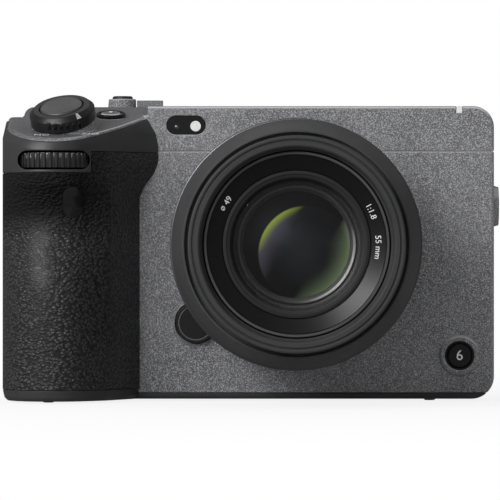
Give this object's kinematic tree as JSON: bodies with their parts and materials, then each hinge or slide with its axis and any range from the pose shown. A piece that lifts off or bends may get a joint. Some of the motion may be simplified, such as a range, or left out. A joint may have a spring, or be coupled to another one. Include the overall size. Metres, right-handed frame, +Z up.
{
  "type": "cinema camera",
  "caption": "Compact interchangeable-lens cinema camera with a hand grip, swing-out side monitor, tilted power switch and a fixed-focal lens.",
  "frame": {"origin": "mouth of the bottom tripod socket, under the lens axis and in the sensor plane", "axes": "+Z up, -Y the way the lens looks, +X to the right as seen from the front"},
  "size_m": [0.1319, 0.1227, 0.0815],
  "materials": {
    "body_paint": "fine matte speckled paint",
    "black_plastic": "fine matte grain",
    "grip_rubber": "coarse pebble grain",
    "flap_rubber": "matte",
    "control_black": "satin black",
    "shutter_metal": "dark satin anodised",
    "steel": "fine turned",
    "screw_steel": "dark zinc",
    "chassis_metal": "as cast, machined",
    "stage_metal": "machined",
    "contact_plastic": "moulded, gilt contacts",
    "shutter_black": "matte black",
    "sensor_glass": "coated cover over silicon",
    "board": "solder mask",
    "battery_case": "moulded with label",
    "card_plastic": "moulded",
    "port_plastic": "moulded with metal mouths",
    "window_black": "infrared black",
    "lamp_white": "frosted",
    "display_glass": "polished cover glass",
    "bayonet_chrome": "satin chrome",
    "lens_black": "black anodised",
    "lens_glass": "coated optical glass",
    "carrier_black": "black anodised",
    "blade_black": "matte black"
  },
  "bodies": {
    "body": {"front_cover": "body_paint", "top_cover": "body_paint", "rear_cover": "body_paint", "bottom_cover": "black_plastic", "side_cover": "body_paint", "grip_shell": "black_plastic", "grip_leather": "grip_rubber", "grip_top_cap": "black_plastic", "chassis": "chassis_metal", "mount_ring": "steel", "fasteners": "screw_steel", "thread_inserts": "steel", "contact_block": "contact_plastic", "shutter_unit": "shutter_black", "main_board": "board", "heat_sink": "stage_metal", "fan_housing": "black_plastic", "battery": "battery_case", "memory_cards": "card_plastic", "port_block": "port_plastic", "accessory_shoe": "steel", "sensor_windows": "window_black", "lamps": "lamp_white", "lens_bayonet": "bayonet_chrome", "rear_barrel": "lens_black", "front_barrel": "lens_black", "name_ring": "lens_black", "lens_elements": "lens_glass", "aperture_blades": "blade_black"},
    "monitor": {"monitor_arm": "black_plastic", "monitor_housing": "black_plastic", "monitor_glass": "display_glass"},
    "sensor_z": {"sensor_stage_z": "stage_metal", "image_sensor": "sensor_glass"},
    "fan_rotor": {"fan_rotor": "black_plastic"},
    "sensor_stage_x": {"sensor_stage_x": "stage_metal"},
    "battery_door": {"battery_door": "black_plastic"},
    "battery_latch": {"battery_latch": "black_plastic"},
    "card_door": {"card_door": "black_plastic"},
    "port_cover_upper": {"port_cover_upper": "flap_rubber"},
    "port_cover_lower": {"port_cover_lower": "flap_rubber"},
    "power_switch_ring": {"power_switch_ring": "control_black"},
    "shutter_button": {"shutter_button": "shutter_metal"},
    "front_dial": {"front_dial": "control_black"},
    "rear_dial": {"rear_dial": "control_black"},
    "control_wheel": {"control_wheel": "control_black"},
    "centre_button": {"centre_button": "control_black"},
    "joystick_gimbal": {"joystick_gimbal": "steel"},
    "joystick_cap": {"joystick_cap": "control_black"},
    "top_button": {"top_button": "control_black"},
    "record_button": {"record_button": "control_black"},
    "key_button": {"key_button": "control_black"},
    "front_button": {"front_button": "control_black"},
    "lens_release_button": {"lens_release_button": "control_black"},
    "menu_button": {"menu_button": "control_black"},
    "function_button": {"function_button": "control_black"},
    "playback_button": {"playback_button": "control_black"},
    "focus_on_button": {"focus_on_button": "control_black"},
    "focus_ring": {"focus_ring": "lens_black"},
    "focus_group": {"focus_group": "carrier_black"}
  },
  "joints": [
    {"name": "monitor_swing", "type": "hinge", "parent": "body", "child": "monitor", "pos_m": [0.0509, 0.0293, 0.0355], "axis": [0, 0, -1], "range_deg": [0, 176]},
    {"name": "fan_spin", "type": "hinge", "parent": "body", "child": "fan_rotor", "pos_m": [0.0265, 0.0141, 0.041], "axis": [0, 1, 0], "continuous": true},
    {"name": "sensor_shift_x", "type": "slide", "parent": "body", "child": "sensor_stage_x", "axis": [1, 0, 0], "range_m": [-0.0015, 0.0015]},
    {"name": "sensor_shift_z", "type": "slide", "parent": "sensor_stage_x", "child": "sensor_z", "axis": [0, 0, 1], "range_m": [-0.0015, 0.0015]},
    {"name": "battery_door_hinge", "type": "hinge", "parent": "body", "child": "battery_door", "pos_m": [-0.05005, 0, 0.0012], "axis": [0, -1, 0], "range_deg": [0, 95]},
    {"name": "battery_latch_slide", "type": "slide", "parent": "battery_door", "child": "battery_latch", "axis": [1, 0, 0], "range_m": [0, 0.002]},
    {"name": "card_door_hinge", "type": "hinge", "parent": "body", "child": "card_door", "pos_m": [-0.07595, 0.0026, 0.032], "axis": [0, 0, 1], "range_deg": [0, 95]},
    {"name": "port_cover_upper_hinge", "type": "hinge", "parent": "body", "child": "port_cover_upper", "pos_m": [0.05225, 0.0056, 0.0485], "axis": [0, 0, -1], "range_deg": [0, 100]},
    {"name": "port_cover_lower_hinge", "type": "hinge", "parent": "body", "child": "port_cover_lower", "pos_m": [0.05225, 0.0056, 0.02], "axis": [0, 0, -1], "range_deg": [0, 100]},
    {"name": "power_switch_turn", "type": "hinge", "parent": "body", "child": "power_switch_ring", "pos_m": [-0.0606, -0.0303, 0.07346], "axis": [0.1391, 0.4144, -0.8994], "range_deg": [0, 50]},
    {"name": "shutter_press", "type": "slide", "parent": "body", "child": "shutter_button", "axis": [0.1391, 0.4144, -0.8994], "range_m": [0, 0.0011], "stiffness_N_per_m": 400, "springref_m": -0.0015},
    {"name": "front_dial_turn", "type": "hinge", "parent": "body", "child": "front_dial", "pos_m": [-0.0629, -0.0341, 0.0629], "axis": [0, 0, 1], "continuous": true},
    {"name": "rear_dial_turn", "type": "hinge", "parent": "body", "child": "rear_dial", "pos_m": [-0.062, 0.0176, 0.0702], "axis": [0, 0, 1], "continuous": true},
    {"name": "control_wheel_turn", "type": "hinge", "parent": "body", "child": "control_wheel", "pos_m": [-0.0545, 0.027, 0.027], "axis": [0, 1, 0], "continuous": true},
    {"name": "centre_press", "type": "slide", "parent": "body", "child": "centre_button", "axis": [0, -1, 0], "range_m": [0, 0.0006], "stiffness_N_per_m": 500, "springref_m": -0.0015},
    {"name": "joystick_up_down", "type": "hinge", "parent": "body", "child": "joystick_gimbal", "pos_m": [-0.0405, 0.0248, 0.0475], "axis": [1, 0, 0], "range_deg": [-8, 8], "stiffness_Nm_per_rad": 0.01},
    {"name": "joystick_left_right", "type": "hinge", "parent": "joystick_gimbal", "child": "joystick_cap", "pos_m": [-0.0405, 0.0248, 0.0475], "axis": [0, 0, 1], "range_deg": [-8, 8], "stiffness_Nm_per_rad": 0.01},
    {"name": "top_button_press", "type": "slide", "parent": "body", "child": "top_button", "axis": [0, 0.2198, -0.9755], "range_m": [0, 0.0006], "stiffness_N_per_m": 500, "springref_m": -0.0015},
    {"name": "record_press", "type": "slide", "parent": "body", "child": "record_button", "axis": [0, 0, -1], "range_m": [0, 0.0006], "stiffness_N_per_m": 500, "springref_m": -0.0015},
    {"name": "key_press", "type": "slide", "parent": "body", "child": "key_button", "axis": [0, 0, -1], "range_m": [0, 0.0006], "stiffness_N_per_m": 500, "springref_m": -0.0015},
    {"name": "front_button_press", "type": "slide", "parent": "body", "child": "front_button", "axis": [0, 1, 0], "range_m": [0, 0.0006], "stiffness_N_per_m": 500, "springref_m": -0.0015},
    {"name": "lens_release_press", "type": "slide", "parent": "body", "child": "lens_release_button", "axis": [0, 1, 0], "range_m": [0, 0.0014], "stiffness_N_per_m": 500, "springref_m": -0.002},
    {"name": "menu_press", "type": "slide", "parent": "body", "child": "menu_button", "axis": [0, -1, 0], "range_m": [0, 0.0006], "stiffness_N_per_m": 500, "springref_m": -0.0015},
    {"name": "function_press", "type": "slide", "parent": "body", "child": "function_button", "axis": [0, -1, 0], "range_m": [0, 0.0006], "stiffness_N_per_m": 500, "springref_m": -0.0015},
    {"name": "playback_press", "type": "slide", "parent": "body", "child": "playback_button", "axis": [0, -1, 0], "range_m": [0, 0.0006], "stiffness_N_per_m": 500, "springref_m": -0.0015},
    {"name": "focus_on_press", "type": "slide", "parent": "body", "child": "focus_on_button", "axis": [0, -1, 0], "range_m": [0, 0.0006], "stiffness_N_per_m": 500, "springref_m": -0.0015},
    {"name": "focus_ring_turn", "type": "hinge", "parent": "body", "child": "focus_ring", "pos_m": [0, -0.053, 0.0409], "axis": [0, 1, 0], "continuous": true},
    {"name": "focus_drive", "type": "slide", "parent": "body", "child": "focus_group", "axis": [0, 1, 0], "range_m": [-0.004, 0]}
  ]
}
